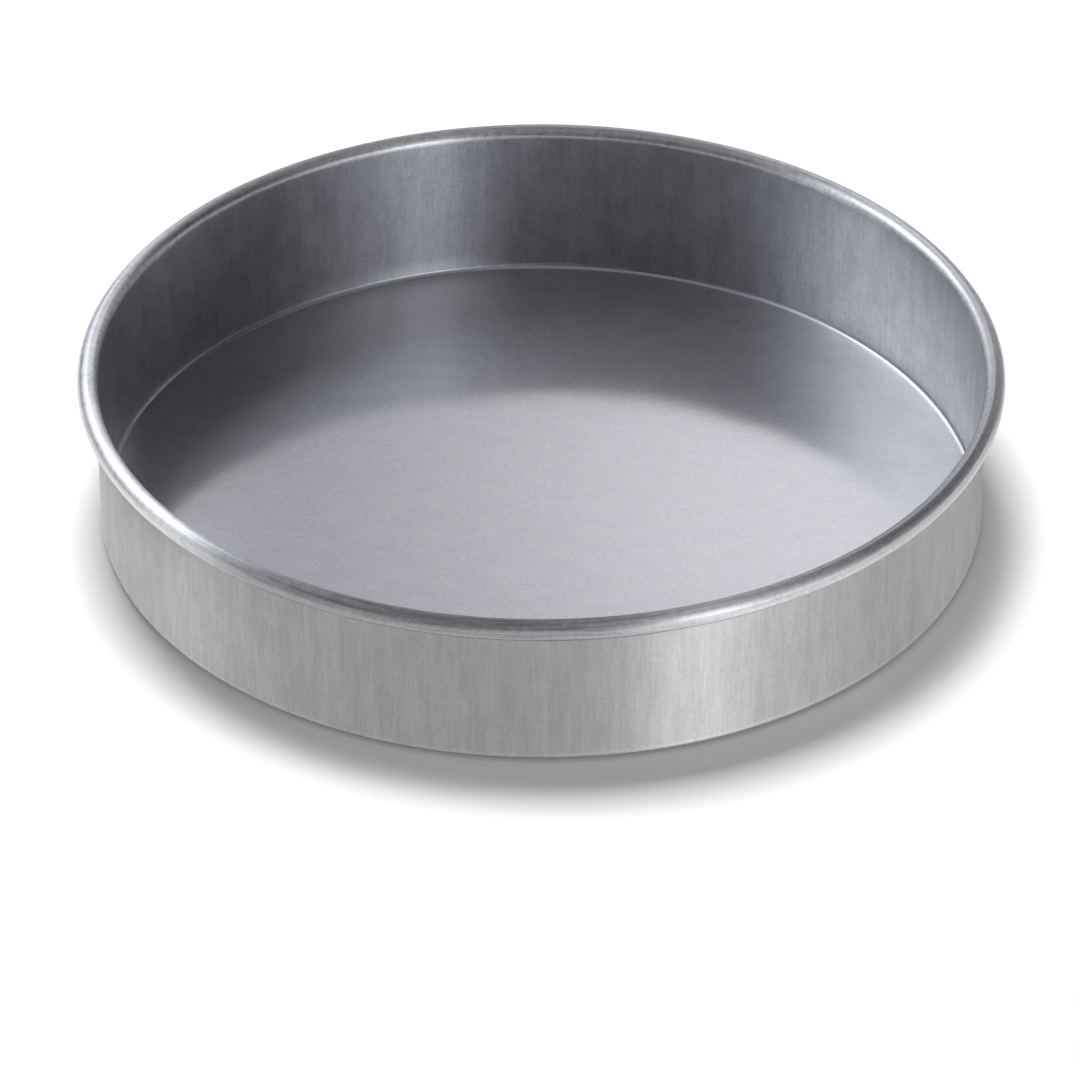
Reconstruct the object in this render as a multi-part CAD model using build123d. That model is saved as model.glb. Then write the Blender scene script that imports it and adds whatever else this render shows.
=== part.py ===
from build123d import *
import math
import os

# Round cake tin, straight-sided, nine inches across the inside, deep-drawn from one disc of
# aluminised steel. The top edge of the wall is rolled outwards over a hoop of steel wire.
# Origin: centre of the flat underside. +Z goes up through the open mouth. Sizes are in mm,
# and angles in degrees.

# Driving dimensions of the sheet
inside_diameter = 228.6      # across the mouth, between the inner faces of the wall
overall_height = 44.0        # from the underside to the top of the rolled rim
sheet_thickness = 0.6
corner_inside_radius = 1.2   # between the floor and the wall
wall_draft = 0.2             # angle that the wall leans outwards, so that tins nest
tuck_gap = 0.15              # between the rolled-under edge and the wall

# Driving dimensions of the wire hoop
wire_diameter = 4.0
wire_clearance = 0.02        # all round, between the wire and the sheet rolled over it
wire_end_gap = 0.4           # between the two cut ends of the hoop, which aren't welded


def on_circle(centre, radius, angle):
    """Point on a circle of the section, at an angle that starts outwards and turns upwards."""
    turn = math.radians(angle)
    return (centre[0] + radius * math.cos(turn), centre[1] + radius * math.sin(turn))


# The rolled rim. The wire lies against the wall's outer face, so its ring is one roll radius
# out from the mouth and one roll radius down from the top.
wire_radius = wire_diameter / 2
roll_inside_radius = wire_radius + wire_clearance
roll_outside_radius = roll_inside_radius + sheet_thickness
roll_centre = (inside_diameter / 2 + roll_outside_radius, overall_height - roll_outside_radius)

# The sheet leaves the wall on a tangent, goes over the wire, and stops just short of the wall.
roll_start = 180 - wall_draft
tuck_cosine = (roll_inside_radius - tuck_gap) / roll_outside_radius
roll_end = math.degrees(math.acos(tuck_cosine)) - 180
roll_middle = (roll_start + roll_end) / 2
wall_top = on_circle(roll_centre, roll_inside_radius, roll_start)

# The bottom corner. Its centre is one corner radius in from the wall's outer face.
corner_outside_radius = corner_inside_radius + sheet_thickness
lean = math.radians(wall_draft)
wall_drop = wall_top[1] - corner_outside_radius
corner_inset = (corner_outside_radius + wall_drop * math.sin(lean)) / math.cos(lean)
corner_centre = (wall_top[0] - corner_inset, corner_outside_radius)
corner_start = -wall_draft
corner_end = -90
corner_middle = (corner_start + corner_end) / 2


def roll_arc(radius):
    """Section of one face of the sheet where it goes over the wire."""
    return ThreePointArc(
        on_circle(roll_centre, radius, roll_start),
        on_circle(roll_centre, radius, roll_middle),
        on_circle(roll_centre, radius, roll_end),
    )


def corner_arc(radius):
    """Section of one face of the sheet between the wall and the floor."""
    return ThreePointArc(
        on_circle(corner_centre, radius, corner_start),
        on_circle(corner_centre, radius, corner_middle),
        on_circle(corner_centre, radius, corner_end),
    )


def sheet_section():
    """Closed outline of the sheet, from the middle of the floor to the tucked edge."""
    with BuildLine(Plane.XZ) as outline:
        roll_under = roll_arc(roll_inside_radius)
        roll_over = roll_arc(roll_outside_radius)
        corner_outside = corner_arc(corner_outside_radius)
        corner_inside = corner_arc(corner_inside_radius)
        Line(roll_under @ 1, roll_over @ 1)
        Line(corner_outside @ 0, roll_under @ 0)
        Line(corner_inside @ 0, roll_over @ 0)
        Line((0, 0), corner_outside @ 1)
        Line((0, sheet_thickness), corner_inside @ 1)
        Line((0, 0), (0, sheet_thickness))
    return make_face(outline.edges())


def tin_body():
    """The drawn tin: floor, bottom corner, wall and rolled rim, all one sheet."""
    return revolve(sheet_section(), Axis.Z)


def rim_wire():
    """The hoop of round wire inside the rim, with its two cut ends nearly meeting at the back."""
    gap_angle = math.degrees(wire_end_gap / roll_centre[0])
    section = Plane.XZ * Pos(*roll_centre) * Circle(wire_radius)
    hoop = revolve(section, Axis.Z, 360 - gap_angle)
    return Rot(0, 0, 90 + gap_angle / 2) * hoop


def shared_volume(one, other):
    """Volume that two pieces both fill, which is nothing when the hoop fits in its roll."""
    shared = one & other
    return 0 if shared is None else sum(solid.volume for solid in shared.solids())


pieces = {
    "tin_body": tin_body(),
    "rim_wire": rim_wire(),
}

os.makedirs("parts", exist_ok=True)
for name, piece in pieces.items():
    piece.label = name
    export_step(piece, f"parts/{name}.step")
    sides = [round(side, 2) for side in piece.bounding_box().size]
    print(name, "valid:", piece.is_valid, "size:", sides)

overlap = shared_volume(pieces["tin_body"], pieces["rim_wire"])
print("sheet and wire overlap:", round(overlap, 6), "mm3")
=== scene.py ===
import math

import bpy
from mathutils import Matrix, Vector


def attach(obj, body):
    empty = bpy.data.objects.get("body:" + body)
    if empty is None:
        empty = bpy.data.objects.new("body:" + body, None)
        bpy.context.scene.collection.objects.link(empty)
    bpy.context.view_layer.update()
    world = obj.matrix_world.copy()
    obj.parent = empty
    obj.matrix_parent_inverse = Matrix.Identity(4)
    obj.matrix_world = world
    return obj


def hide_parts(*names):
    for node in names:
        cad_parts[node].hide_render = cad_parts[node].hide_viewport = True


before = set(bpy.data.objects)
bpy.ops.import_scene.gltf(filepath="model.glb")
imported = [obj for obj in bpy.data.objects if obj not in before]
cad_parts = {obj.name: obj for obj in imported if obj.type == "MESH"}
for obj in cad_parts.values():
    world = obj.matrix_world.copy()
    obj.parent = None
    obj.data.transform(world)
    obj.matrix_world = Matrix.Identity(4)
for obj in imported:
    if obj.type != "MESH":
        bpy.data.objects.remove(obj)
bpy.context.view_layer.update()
print("frame loaded:", ", ".join(sorted(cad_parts)))

white = (1, 1, 1, 1)
patternMiddle = 0.5  # a noise pattern lies about evenly on both sides of this


# A shader socket that can be added, multiplied and so on. Each sum makes its Math node.
class Socket:
    def __init__(self, shader, socket):
        self.shader = shader
        self.socket = socket

    def math(self, operation, *values):
        return self.shader.node("Math", {"operation": operation}, dict(enumerate(values)))

    def __add__(self, other):
        return self.math("ADD", self, other)

    def __sub__(self, other):
        return self.math("SUBTRACT", self, other)

    def __rsub__(self, other):
        return self.math("SUBTRACT", other, self)

    def __mul__(self, other):
        return self.math("MULTIPLY", self, other)

    def __truediv__(self, other):
        return self.math("DIVIDE", self, other)

    def __rtruediv__(self, other):
        return self.math("DIVIDE", other, self)

    def __pow__(self, other):
        return self.math("POWER", self, other)

    def __rpow__(self, other):
        return self.math("POWER", other, self)

    __radd__ = __add__
    __rmul__ = __mul__

    def least(self, other):
        return self.math("MINIMUM", self, other)

    def most(self, other):
        return self.math("MAXIMUM", self, other)

    def swing(self, share):  # how far a pattern is from its middle, times a share
        return (self - patternMiddle) * share

    def step(self, low=0, high=1, start=0, end=1):  # eases from start to end between low and high
        return self.shader.node(
            "MapRange",
            {"interpolation_type": "SMOOTHSTEP"},
            {"Value": self, "From Min": low, "From Max": high, "To Min": start, "To Max": end},
        )

    def fade(self, low, high, start=1):  # eases from start to 0
        return self.step(low, high, start, 0)


# The nodes of one material or world
class Shader:
    def __init__(self, owner):
        owner.use_nodes = True
        self.owner = owner
        self.tree = owner.node_tree
        self.tree.nodes.clear()

    def node(self, kind, settings=None, sockets=None, out=0):
        made = self.tree.nodes.new("ShaderNode" + kind)
        for name, value in (settings or {}).items():
            setattr(made, name, value)
        for name, value in (sockets or {}).items():
            if isinstance(value, Socket):
                self.tree.links.new(value.socket, made.inputs[name])
            else:
                made.inputs[name].default_value = value
        return Socket(self, made.outputs[out])

    def place(self):  # place on the piece, in metres
        return self.node("TexCoord", out="Object")

    def parts(self, vector):  # x, y and z
        first = self.node("SeparateXYZ", sockets={0: vector})
        return [Socket(self, output) for output in first.socket.node.outputs]

    def stretched(self, vector, scales):
        return self.node("VectorMath", {"operation": "MULTIPLY"}, {0: vector, 1: scales})

    def noise(self, vector, scale, detail, roughness, w=None):
        sockets = {"Vector": vector, "Scale": scale, "Detail": detail, "Roughness": roughness}
        if w is not None:
            sockets["W"] = w
        return self.node("TexNoise", {"noise_dimensions": "3D" if w is None else "4D"}, sockets)

    def mix(self, factor, first, second):  # colours
        return self.node("Mix", {"data_type": "RGBA"}, {0: factor, 6: first, 7: second}, out=2)

    def bump(self, height, distance):
        return self.node("Bump", sockets={"Height": height, "Distance": distance})

    def emission(self, colour, strength):
        return self.node("Emission", sockets={"Color": colour, "Strength": strength})

    def added(self, first, second):  # shaders
        return self.node("AddShader", sockets={0: first, 1: second})

    def ray(self, kind):  # 1 for rays of that kind
        return self.node("LightPath", out=f"Is {kind} Ray")

    def seen(self):  # 1 for rays from the camera, off metal and through glass
        return self.ray("Camera").most(self.ray("Glossy")).most(self.ray("Transmission"))

    def output(self, surface, kind="OutputMaterial"):
        last = self.tree.nodes.new("ShaderNode" + kind)
        self.tree.links.new(surface.socket, last.inputs["Surface"])
        return self.owner


def newMaterial(name):
    return Shader(bpy.data.materials.new(name))


def deselectAll():
    bpy.ops.object.select_all(action="DESELECT")


def sines(angles):
    return [math.sin(math.radians(angle)) for angle in angles]


def cosines(angles):
    return [math.cos(math.radians(angle)) for angle in angles]


def onCircle(centre, radius, angle):
    turn = math.radians(angle)
    return (centre[0] + radius * math.cos(turn), centre[1] + radius * math.sin(turn))


def spread(first, last, count):  # count steps from first to last, without first
    return [first + (last - first) * step / count for step in range(1, count + 1)]


# The tin, in metres and degrees: the sheet's upper face is drawn as rings from the middle of the
# floor, up the wall and over the wire, and is then given its thickness.
tin = {
    "insideRadius": 0.1143,
    "height": 0.044,
    "sheet": 0.0006,
    "cornerInside": 0.0012,
    "draft": 0.2,
    "rollInside": 0.00202,
    "tuckGap": 0.00015,
    "around": 480,  # faces round the tin
    "hub": 0.004,  # radius of the fan of triangles in the middle
    "floorRings": 14,
    "cornerRings": 8,
    "wallRings": 12,
    "rollRings": 44,
    "weldWithin": 0.000001,
    "smoothAngle": 40,
    "rimReachShare": 1.05,  # how far from the wire the rim's finish reaches, in radii of the roll
}

# Points of the sheet's section, as radius and height
rollOutside = tin["rollInside"] + tin["sheet"]
rollCentre = (tin["insideRadius"] + rollOutside, tin["height"] - rollOutside)
rollStart = 180 - tin["draft"]
rollEnd = math.degrees(math.acos((tin["rollInside"] - tin["tuckGap"]) / rollOutside)) - 180
wallTop = onCircle(rollCentre, tin["rollInside"], rollStart)
cornerOutside = tin["cornerInside"] + tin["sheet"]
lean = math.radians(tin["draft"])
cornerInset = (cornerOutside + (wallTop[1] - cornerOutside) * math.sin(lean)) / math.cos(lean)
cornerCentre = (wallTop[0] - cornerInset, cornerOutside)
floorEdge = onCircle(cornerCentre, tin["cornerInside"], -90)
cornerEnd = onCircle(cornerCentre, tin["cornerInside"], -tin["draft"])
rollBegin = onCircle(rollCentre, rollOutside, rollStart)

rings = [(radius, tin["sheet"]) for radius in spread(tin["hub"], floorEdge[0], tin["floorRings"])]
cornerAngles = spread(-90, -tin["draft"], tin["cornerRings"])
rings += [onCircle(cornerCentre, tin["cornerInside"], angle) for angle in cornerAngles]
rings += list(zip(
    spread(cornerEnd[0], rollBegin[0], tin["wallRings"]),
    spread(cornerEnd[1], rollBegin[1], tin["wallRings"]),
))
rollAngles = spread(rollStart, rollEnd, tin["rollRings"])
rings += [onCircle(rollCentre, rollOutside, angle) for angle in rollAngles]

deselectAll()
bpy.ops.mesh.primitive_circle_add(
    vertices=tin["around"], radius=tin["hub"], fill_type="TRIFAN", location=(0, 0, tin["sheet"])
)
tinPiece = bpy.context.object
tinPiece.name = tinPiece.data.name = "pressed_tin"
bpy.ops.object.transform_apply(location=True, rotation=True, scale=True)
bpy.ops.object.mode_set(mode="EDIT")
bpy.ops.mesh.select_all(action="SELECT")
bpy.ops.mesh.region_to_loop()
last = (tin["hub"], tin["sheet"])
for radius, height in rings:
    bpy.ops.mesh.extrude_edges_move(TRANSFORM_OT_translate={"value": (0, 0, height - last[1])})
    share = radius / last[0]
    bpy.ops.transform.resize(value=(share, share, 1), center_override=(0, 0, height))
    last = (radius, height)
bpy.ops.mesh.select_all(action="SELECT")
bpy.ops.mesh.remove_doubles(threshold=tin["weldWithin"])
bpy.ops.mesh.normals_make_consistent(inside=False)
bpy.ops.object.mode_set(mode="OBJECT")
hubFace = min(tinPiece.data.polygons, key=lambda face: face.center.xy.length)
if hubFace.normal.z < 0:
    tinPiece.data.flip_normals()
print("sheet drawn:", len(rings), "rings,", len(tinPiece.data.polygons), "faces")

# Where the sheet isn't perfect. Each fault moves only its own region: by a cloud pattern of the
# given size or, for the nick, without one.
faults = {
    "slackRoll": {"strength": -0.00034, "size": 0.045, "direction": "Z", "middle": 0.0},
    "wavyWall": {
        "strength": 0.00012, "size": 0.022, "direction": "NORMAL", "middle": 0.5,
        "rise": (0.003, 0.012), "fall": (0.030, 0.0385),  # heights where it begins and ends
    },
    "uneasyFloor": {
        "strength": 0.00016, "size": 0.035, "direction": "Z", "middle": 0.0,
        "fall": (0.080, 0.108),  # radii where it ends
    },
    "nick": {
        "strength": -0.00018, "size": None, "direction": "NORMAL", "middle": 0.0,
        "fall": (0.0004, 0.0021),  # distances from it
    },
}
cloudDepth = 1
nickPlace = Vector((0.0582, -0.1041, 0.0427))


def ramp(value, low, high):
    share = min(max((value - low) / (high - low), 0), 1)
    return share * share * (3 - 2 * share)


def faultWeight(name, place):
    fault = faults[name]
    radius, height = place.xy.length, place.z
    if name == "slackRoll":
        onRoll = radius > tin["insideRadius"] + tin["sheet"]
        return ramp(rollCentre[1] - height, 0, rollOutside) * onRoll
    if name == "wavyWall":
        return ramp(height, *fault["rise"]) * (1 - ramp(height, *fault["fall"]))
    if name == "uneasyFloor":
        return 1 - ramp(radius, *fault["fall"])
    return 1 - ramp((place - nickPlace).length, *fault["fall"])


for name, fault in faults.items():
    group = tinPiece.vertex_groups.new(name=name)
    for vertex in tinPiece.data.vertices:
        weight = faultWeight(name, vertex.co)
        if weight > 0:
            group.add([vertex.index], weight, "REPLACE")
    mover = tinPiece.modifiers.new(name, "DISPLACE")
    if fault["size"]:
        clouds = bpy.data.textures.new(name + "Clouds", "CLOUDS")
        clouds.noise_scale = fault["size"]
        clouds.noise_depth = cloudDepth
        mover.texture = clouds
        mover.texture_coords = "LOCAL"
    mover.vertex_group = name
    mover.direction = fault["direction"]
    mover.mid_level = fault["middle"]
    mover.strength = fault["strength"]
    bpy.ops.object.modifier_apply(modifier=name)

thickness = tinPiece.modifiers.new("sheet", "SOLIDIFY")
thickness.thickness = tin["sheet"]
thickness.offset = -1
thickness.use_even_offset = True
thickness.use_quality_normals = True
bpy.ops.object.modifier_apply(modifier="sheet")
bpy.ops.object.shade_smooth_by_angle(angle=math.radians(tin["smoothAngle"]))
tinPiece.vertex_groups.clear()
print("tin made:", len(tinPiece.data.polygons), "faces")


# Finishes. Floor, walls and rim are one metal, worked in several ways. Each finish runs between
# a dull and a pale tone, and each of its patterns moves the tone by its share. A pattern's three
# numbers are its scale per metre, its detail and its roughness.
def toneOf(finish, patterns):
    tone = finish["middle"]
    for name, pattern in patterns.items():
        tone = pattern.swing(finish["shares"][name]) + tone
    return tone.step()


def toned(shader, finish, patterns):
    return shader.mix(toneOf(finish, patterns), finish["dull"], finish["pale"])


# This is 1 within the first distance of a spot, and 0 past the second.
def nearness(shader, place, spot, reach):
    away = shader.node("VectorMath", {"operation": "DISTANCE"}, {0: place, 1: spot}, out=1)
    return away.fade(*reach)


# A turn round the tin is 0 towards the camera and 90 to its right. This is 1 within the first
# angle of a turn, and 0 past the second.
def turned(x, y, radius, turn, reach):
    turn = math.radians(turn)
    inner, outer = cosines(reach)
    return ((x * math.sin(turn) - y * math.cos(turn)) / radius).step(outer, inner)


floorFinish = {
    "pale": (0.55, 0.55, 0.57, 1),
    "dull": (0.42, 0.42, 0.438, 1),
    "middle": 0.5,
    "shares": {"grain": 1.2, "mottle": 0.9},
    "grain": (1300, 3, 0.6),
    "mottle": (160, 4, 0.65),
    "stretch": (0.55, 1, 1),  # the grain runs from left to right
    "roughness": 0.62,
    "roughSpread": 0.10,
    "skinGloss": 3.6,  # refractive index of the bright skin over the dull metal
    "skinRoughness": 0.13,
    "bump": 0.000006,
    "speck": (0.37, 0.37, 0.38, 1),
    "specks": [  # x, y and radius
        (0.0456, 0.1005, 0.0007),
        (0.0534, 0.0858, 0.0005),
        (0.0280, 0.0728, 0.0006),
    ],
    "speckCoreShare": 0.5,
}


def floorMaterial():
    shader = newMaterial("grainy_floor_sheet")
    place = shader.place()
    drawn = shader.stretched(place, floorFinish["stretch"])
    grain = shader.noise(drawn, *floorFinish["grain"])
    mottle = shader.noise(drawn, *floorFinish["mottle"])
    colour = toned(shader, floorFinish, {"grain": grain, "mottle": mottle})
    for x, y, radius in floorFinish["specks"]:
        reach = (radius * floorFinish["speckCoreShare"], radius)
        speck = nearness(shader, place, (x, y, tin["sheet"]), reach)
        colour = shader.mix(speck, colour, floorFinish["speck"])
    return shader.output(shader.node("BsdfPrincipled", sockets={
        "Base Color": colour,
        "Metallic": 1,
        "Roughness": floorFinish["roughness"] + mottle.swing(floorFinish["roughSpread"]),
        "Normal": shader.bump(grain, floorFinish["bump"]),
        "Coat Weight": 1,
        "Coat IOR": floorFinish["skinGloss"],
        "Coat Roughness": floorFinish["skinRoughness"],
    }))


wallFinish = {
    "lines": (1700, 3, 0.6),
    "lineStretch": (1, 1, 0.06),  # the draw lines run up the wall
    "columns": (280, 2, 0.5),
    "columnStretch": (1, 1, 0.12),  # and so do broader bands
    "grain": (1100, 2, 0.6),
    "mottle": (130, 4, 0.6),
    "roughSpread": 0.10,
    "bump": 0.000006,
    "spreadTurn": 0.25,  # of a full turn
}
insideWall = {
    "pale": (0.74, 0.75, 0.78, 1),
    "dull": (0.51, 0.52, 0.55, 1),
    "middle": 0.5,
    "shares": {"lines": 0.7, "grain": 0.9, "columns": 0.6, "mottle": 0.9},
    "roughness": 0.36,
    "anisotropy": 0.35,
    "corner": (0.72, 0.72, 0.74, 1),  # painted highlight: a pale line along the foot of the inside wall, at the corner
    "cornerHighlightHeight": (0.0009, 0.0013),
}
outsideWall = {
    "pale": (0.71, 0.70, 0.69, 1),
    "dull": (0.555, 0.545, 0.535, 1),
    "middle": 0.5,
    "shares": {"lines": 0.9, "grain": 0.8, "columns": 0.8, "mottle": 0.8},
    "roughness": 0.62,
    "anisotropy": 0.9,
    # painted shade: the outside wall goes dark towards its lower edge, full below the first height
    # and gone past the second
    "paintedShade": (0.20, 0.20, 0.20, 1),
    "paintedShadeHeight": (0.0008, 0.0015),
    "paintedHighlight": (0.80, 0.80, 0.80, 1),  # painted highlight: a pale line round the lower edge, in patches
    "paintedHighlightRise": (0.0015, 0.0018),
    "paintedHighlightFall": (0.0021, 0.0025),
    "paintedHighlightShare": 0.5,
    "patches": (120, 3, 0.6),
    "patchEdge": (0.35, 0.65),
}


# Paints a pale highlight line, in patches, round the lower edge of the outside wall, and painted
# shade below it.
def outsidePaintedEdge(shader, place, height, colour):
    patches = shader.noise(place, *outsideWall["patches"]).step(*outsideWall["patchEdge"])
    paintedHighlight = height.step(*outsideWall["paintedHighlightRise"])
    paintedHighlight = paintedHighlight * height.fade(*outsideWall["paintedHighlightFall"], outsideWall["paintedHighlightShare"]) * patches
    colour = shader.mix(paintedHighlight, colour, outsideWall["paintedHighlight"])
    # painted shade along the lower edge of the outside wall
    return shader.mix(height.fade(*outsideWall["paintedShadeHeight"]), colour, outsideWall["paintedShade"])


def wallMaterial(name, side):
    shader = newMaterial(name)
    place = shader.place()
    height = shader.parts(place)[2]
    upright = shader.stretched(place, wallFinish["lineStretch"])
    banded = shader.stretched(place, wallFinish["columnStretch"])
    patterns = {
        "lines": shader.noise(upright, *wallFinish["lines"]),
        "grain": shader.noise(place, *wallFinish["grain"]),
        "columns": shader.noise(banded, *wallFinish["columns"]),
        "mottle": shader.noise(place, *wallFinish["mottle"]),
    }
    colour = toned(shader, side, patterns)
    if side is outsideWall:
        colour = outsidePaintedEdge(shader, place, height, colour)
    else:
        # painted highlight along the inside corner
        colour = shader.mix(height.fade(*side["cornerHighlightHeight"]), colour, side["corner"])
    return shader.output(shader.node("BsdfPrincipled", sockets={
        "Base Color": colour,
        "Metallic": 1,
        "Roughness": side["roughness"] + patterns["mottle"].swing(wallFinish["roughSpread"]),
        "Normal": shader.bump(patterns["lines"], wallFinish["bump"]),
        "Anisotropic": side["anisotropy"],
        "Anisotropic Rotation": wallFinish["spreadTurn"],
    }))


rimFinish = {
    "pale": (0.71, 0.71, 0.72, 1),
    "dull": (0.51, 0.51, 0.52, 1),
    "middle": 0.55,
    "shares": {"streaks": 1.8, "scuffs": 2.0},
    "streaks": (1, 3, 0.6),
    "streakRound": 6,  # long round the rim, and fine across it
    "streakAcross": 2500,
    "scuffs": (560, 4, 0.65),
    "roughness": 0.60,
    "roughSpread": 0.24,
    "anisotropy": 0.8,
    "spreadTurn": 0.25,
    "skinGloss": 2.1,
    "skinRoughness": 0.26,
    "bump": 0.000012,
    "paintedShade": (0.15, 0.15, 0.15, 1),
    "paintedShadeHeight": (0.0394, 0.0402),  # painted shade under the roll, where the sheet is tucked in under the wire
}
rimWorn = {  # the front has been rubbed dull, in patches
    "pale": (0.66, 0.66, 0.67, 1),
    "dull": (0.32, 0.32, 0.325, 1),
    "middle": 0.5,
    "shares": {"streaks": 3.0, "scuffs": 2.0},
    "turn": -13,
    "reach": (18, 38),
    "patchFrom": 0.4,
    "patchShare": 2,
    "patchLeast": 0.6,
    "roughness": 0.70,
    "skinLost": 0.8,  # share of the skin worn away there
}
rimPolishAndHighlight = {  # the left side, and all round the inner shoulder, are smoother, with a painted highlight in a paler tone
    "tone": (0.80, 0.80, 0.805, 1),
    "turn": -88,
    "reach": (28, 52),
    "shoulder": (0.1152, 0.1161),
    "roughness": 0.42,
}
nickMark = {  # bare in the middle, with a dark broken edge
    "bare": (0.0005, 0.0009),
    "edge": (0.0010, 0.0014),
    "broken": (0.40, 0.60),
    "edgeShare": 0.7,
    "tone": (0.22, 0.22, 0.23, 1),
}


def rimMaterial():
    shader = newMaterial("rolled_rim_sheet")
    place = shader.place()
    x, y, z = shader.parts(place)
    radius = (x * x + y * y) ** 0.5
    around = shader.node("CombineXYZ", sockets={
        "X": x / radius * rimFinish["streakRound"],
        "Y": y / radius * rimFinish["streakRound"],
        "Z": z * rimFinish["streakAcross"],
    })
    streaks = shader.noise(around, *rimFinish["streaks"], w=radius * rimFinish["streakAcross"])
    scuffs = shader.noise(place, *rimFinish["scuffs"])
    patterns = {"streaks": streaks, "scuffs": scuffs}

    tone = toneOf(rimFinish, patterns)
    clean = shader.mix(tone, rimFinish["dull"], rimFinish["pale"])
    polishAndHighlight = turned(x, y, radius, rimPolishAndHighlight["turn"], rimPolishAndHighlight["reach"])
    polishAndHighlight = polishAndHighlight.most(radius.fade(*rimPolishAndHighlight["shoulder"]))
    # painted highlight: the left side and inner shoulder take a paler tone
    clean = shader.mix(polishAndHighlight * tone, clean, rimPolishAndHighlight["tone"])

    patches = (scuffs - rimWorn["patchFrom"]) * rimWorn["patchShare"] + rimWorn["patchLeast"]
    wear = turned(x, y, radius, rimWorn["turn"], rimWorn["reach"]) * patches.least(1)
    colour = shader.mix(wear, clean, toned(shader, rimWorn, patterns))
    # painted shade along the underside of the roll
    colour = shader.mix(z.fade(*rimFinish["paintedShadeHeight"]), colour, rimFinish["paintedShade"])

    edge = nearness(shader, place, nickPlace, nickMark["edge"])
    edge = edge - nearness(shader, place, nickPlace, nickMark["bare"])
    edge = edge * scuffs.step(*nickMark["broken"]) * nickMark["edgeShare"]
    colour = shader.mix(edge, colour, nickMark["tone"])

    rough = rimFinish["roughness"] + scuffs.swing(rimFinish["roughSpread"])
    rough = rough + wear * (rimWorn["roughness"] - rimFinish["roughness"])
    rough = rough + polishAndHighlight * (1 - wear) * (rimPolishAndHighlight["roughness"] - rimFinish["roughness"])
    return shader.output(shader.node("BsdfPrincipled", sockets={
        "Base Color": colour,
        "Metallic": 1,
        "Roughness": rough,
        "Normal": shader.bump(streaks, rimFinish["bump"]),
        "Anisotropic": rimFinish["anisotropy"],
        "Anisotropic Rotation": rimFinish["spreadTurn"],
        "Coat Weight": 1 - wear * rimWorn["skinLost"],
        "Coat IOR": rimFinish["skinGloss"],
        "Coat Roughness": rimFinish["skinRoughness"],
    }))


wireFinish = {
    "pale": (0.52, 0.52, 0.52, 1),
    "dull": (0.40, 0.39, 0.38, 1),
    "drag": (900, 3, 0.6),  # marks of the die that the wire was drawn through
    "dragStretch": (0.15, 0.15, 1),
    "dragEdge": (0.3, 0.7),
    "roughness": 0.42,
    "roughSpread": 0.2,
    "bump": 0.000006,
}


def wireMaterial():
    shader = newMaterial("drawn_hoop_wire")
    stretched = shader.stretched(shader.place(), wireFinish["dragStretch"])
    drag = shader.noise(stretched, *wireFinish["drag"])
    tone = drag.step(*wireFinish["dragEdge"])
    return shader.output(shader.node("BsdfPrincipled", sockets={
        "Base Color": shader.mix(tone, wireFinish["dull"], wireFinish["pale"]),
        "Metallic": 1,
        "Roughness": wireFinish["roughness"] + drag.swing(wireFinish["roughSpread"]),
        "Normal": shader.bump(drag, wireFinish["bump"]),
    }))


finishes = {
    "floor": floorMaterial(),
    "inside": wallMaterial("drawn_wall_inside", insideWall),
    "outside": wallMaterial("drawn_wall_outside", outsideWall),
    "rim": rimMaterial(),
}


def finishOf(face):
    radial = face.center.xy
    fromWire = Vector((radial.length - rollCentre[0], face.center.z - rollCentre[1]))
    if fromWire.length < rollOutside * tin["rimReachShare"] and fromWire.y > -rollOutside:
        return "rim"
    if radial.length > floorEdge[0]:
        return "outside" if face.normal.xy.dot(radial) > 0 else "inside"
    return "floor"


for finish in finishes.values():
    tinPiece.data.materials.append(finish)
for face in tinPiece.data.polygons:
    face.material_index = list(finishes).index(finishOf(face))

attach(tinPiece, "root")
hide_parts("tin_body")

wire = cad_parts["rim_wire"]
wire.data.materials.clear()
wire.data.materials.append(wireMaterial())
print("finishes set")


# The studio: a pale floor that runs to the horizon, and a large soft lamp high up behind on the
# left that lights it. The metal sees two lamps in front on the right, a screen behind and a tent of
# cloth all round, which nothing else sees.
studio = {
    "floorSide": 60,
    "floorColour": (0.80, 0.80, 0.80, 1),
    "floorGlow": 0.11,
    "evenInMetal": 0.75,  # how far the metal shows the floor evenly lit, without its shadow
    "fill": 0.18,
}
metalLight = (0.965, 0.977, 1.035, 1)  # what the metal mirrors is a little cool

lamps = {
    "keyLamp": {
        "turn": -160, "rise": 74, "away": 3.0, "size": (1.1, 1.1), "level": 26.5, "onMetal": False,
    },
    "stripLamp": {
        "turn": 33, "rise": 20, "away": 0.43, "size": (0.12, 0.26), "level": 3.6, "onMetal": True,
    },
    "sideLamp": {
        "turn": 56, "rise": 20, "away": 0.43, "size": (0.12, 0.26), "level": 0.85, "onMetal": True,
    },
}

# A sheet of light hung behind the tin, which the tin's floor mirrors. It grows from none to full
# between the two places of rise or low, and goes out between those of fall or high.
screen = {
    "size": (0.60, 0.34),
    "place": (0.10, 0.42, 0.25),
    "rise": (-0.12, 0.13),  # from left to right
    "fall": (0.12, 0.18),
    "low": (0.17, 0.24),  # from the floor up
    "high": (0.36, 0.41),
    "level": 1.35,
}

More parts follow.
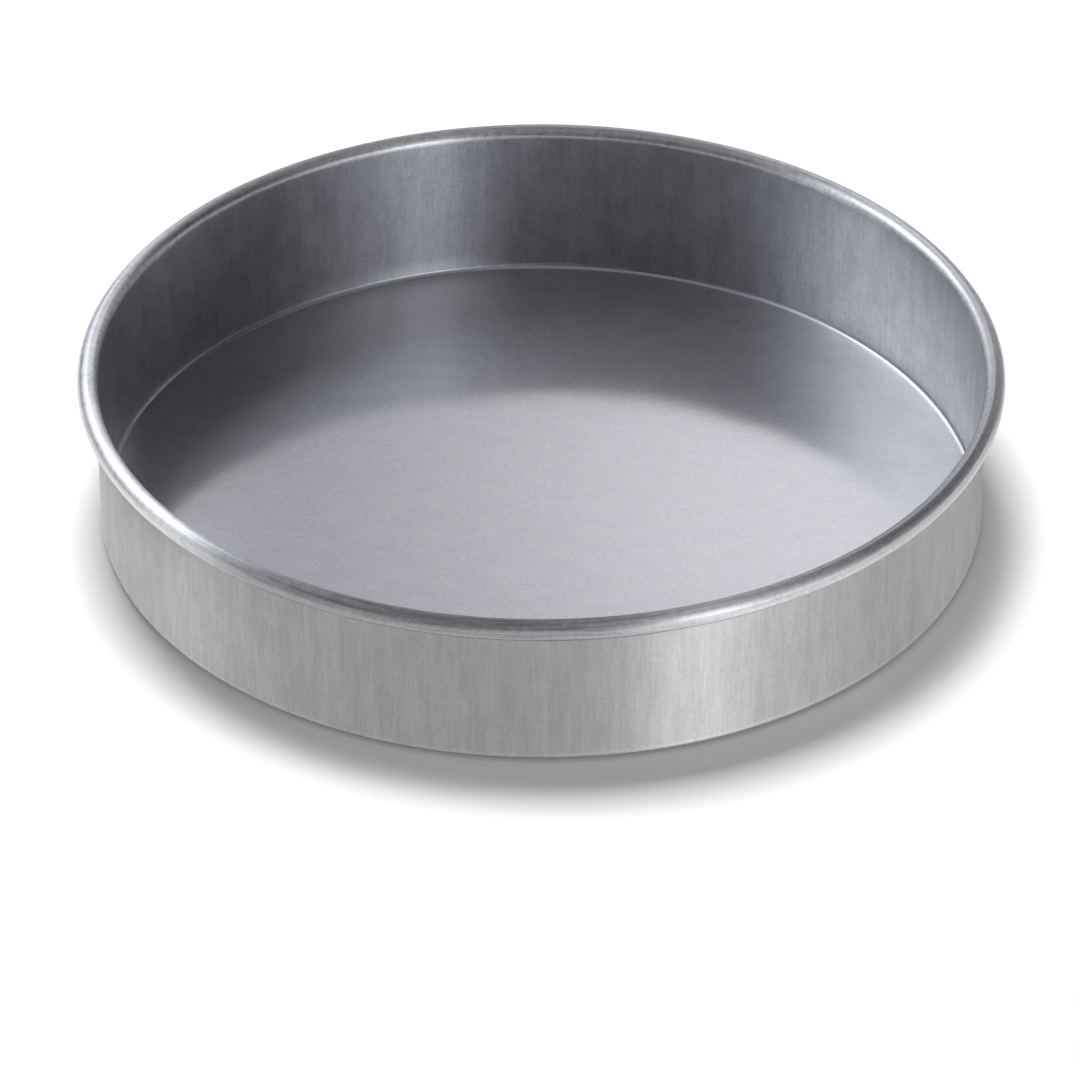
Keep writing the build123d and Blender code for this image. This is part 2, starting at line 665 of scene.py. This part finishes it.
tent = {
    "radius": 0.6,
    "segments": 64,
    "rows": 32,
    "windowLight": (0.930, 0.975, 1.065, 1),  # the first panel is a window, which is cooler
    "panels": [  # pale parts of the cloth: full inside the first width, gone past the second
        {"turn": -130, "width": (24, 38), "low": (30, 45), "high": (47, 55), "level": 3.6},
        {"turn": -118, "width": (38, 52), "low": (12, 24), "high": (40, 48), "level": 0.85},
        {"turn": -172, "width": (8, 36), "low": (0, 1), "high": (39, 43), "level": 0.46},
        {"turn": 14, "width": (100, 110), "low": (0, 1), "high": (9, 12), "level": 2.15},
        {"turn": 138, "width": (8, 22), "low": (0, 4), "high": (22, 34), "level": 0.35},
        {"turn": 0, "width": (178, 180), "low": (50, 75), "high": (88, 90), "level": 0.30},
    ],
}


def studioFloor():
    deselectAll()
    bpy.ops.mesh.primitive_plane_add(size=studio["floorSide"], location=(0, 0, 0))
    floor = bpy.context.object
    floor.name = floor.data.name = "studio_floor"
    shader = newMaterial("pale_floor")
    matte = shader.node("BsdfDiffuse", sockets={"Color": studio["floorColour"]})
    lit = shader.added(matte, shader.emission(white, shader.seen() * studio["floorGlow"]))
    inMetal = shader.ray("Glossy") * studio["evenInMetal"]
    mixed = shader.node("MixShader", sockets={0: inMetal, 1: lit, 2: shader.emission(white, 1)})
    floor.data.materials.append(shader.output(mixed))


def hangLight(piece, name, material):  # a stage piece that only metal sees
    piece.name = piece.data.name = name
    material.cycles.emission_sampling = "NONE"
    piece.data.materials.append(material)
    piece.visible_camera = piece.visible_diffuse = piece.visible_shadow = False
    piece.visible_transmission = piece.visible_volume_scatter = False


def tentMaterial():
    shader = newMaterial("tent_cloth")
    x, y, z = shader.parts(shader.place())
    across = (x * x + y * y) ** 0.5
    height = z / tent["radius"]
    levels = []
    for panel in tent["panels"]:
        share = turned(x, y, across, panel["turn"], panel["width"])
        share = share * height.step(*sines(panel["low"])) * height.fade(*sines(panel["high"]))
        levels.append(share * panel["level"])
    window = shader.emission(tent["windowLight"], levels[0])
    cloth = shader.emission(metalLight, sum(levels[2:], levels[1]))
    return shader.output(shader.added(window, cloth))


def studioTent():
    deselectAll()
    bpy.ops.mesh.primitive_uv_sphere_add(
        segments=tent["segments"], ring_count=tent["rows"], radius=tent["radius"], location=(0, 0, 0)
    )
    hangLight(bpy.context.object, "studio_tent", tentMaterial())


def screenMaterial():
    shader = newMaterial("screen_cloth")
    x, y, z = shader.parts(shader.place())
    x, z = x + screen["place"][0], z + screen["place"][2]
    share = x.step(*screen["rise"]) * x.fade(*screen["fall"])
    share = share * z.step(*screen["low"]) * z.fade(*screen["high"])
    clear = shader.node("BsdfTransparent", sockets={"Color": white})
    return shader.output(shader.added(clear, shader.emission(metalLight, share * screen["level"])))


def studioScreen():
    deselectAll()
    bpy.ops.mesh.primitive_plane_add(size=1, location=(0, 0, 0), rotation=(math.radians(90), 0, 0))
    piece = bpy.context.object
    piece.scale = (screen["size"][0], screen["size"][1], 1)
    bpy.ops.object.transform_apply(location=True, rotation=True, scale=True)
    piece.location = screen["place"]
    hangLight(piece, "studio_screen", screenMaterial())


def studioLamp(name, lamp):
    turn, rise = math.radians(lamp["turn"]), math.radians(lamp["rise"])
    way = Vector((math.sin(turn) * math.cos(rise), -math.cos(turn) * math.cos(rise), math.sin(rise)))
    deselectAll()
    bpy.ops.object.light_add(
        type="AREA", location=way * lamp["away"], rotation=way.to_track_quat("Z", "Y").to_euler()
    )
    light = bpy.context.object
    light.name = light.data.name = name
    light.data.shape = "RECTANGLE"
    light.data.size, light.data.size_y = lamp["size"]
    # The level is how bright its face is, whatever its size.
    light.data.energy = lamp["level"] * math.pi * lamp["size"][0] * lamp["size"][1]
    light.data.color = metalLight[:3] if lamp["onMetal"] else white[:3]
    light.visible_camera = False
    light.visible_glossy = lamp["onMetal"]
    light.visible_diffuse = not lamp["onMetal"]


def whiteRoom():
    world = bpy.data.worlds.new("white_room")
    bpy.context.scene.world = world
    shader = Shader(world)
    seen = shader.seen()
    strength = seen + (1 - seen) * studio["fill"]
    background = shader.node("Background", sockets={"Color": white, "Strength": strength})
    shader.output(background, "OutputWorld")


studioFloor()
studioTent()
studioScreen()
for name, lamp in lamps.items():
    studioLamp(name, lamp)
whiteRoom()
print("studio lit")

camera = {
    "place": (-0.0003, -1.5133, 1.0259),
    "tilt": 55.55,  # degrees from straight down
    "lens": 233.3,
    "sensor": 36,
}
deselectAll()
bpy.ops.object.camera_add(location=camera["place"], rotation=(math.radians(camera["tilt"]), 0, 0))
photoCamera = bpy.context.object
photoCamera.name = photoCamera.data.name = "photo_camera"
photoCamera.data.lens = camera["lens"]
photoCamera.data.sensor_width = camera["sensor"]
scene = bpy.context.scene
scene.camera = photoCamera
scene.view_settings.view_transform = "Standard"
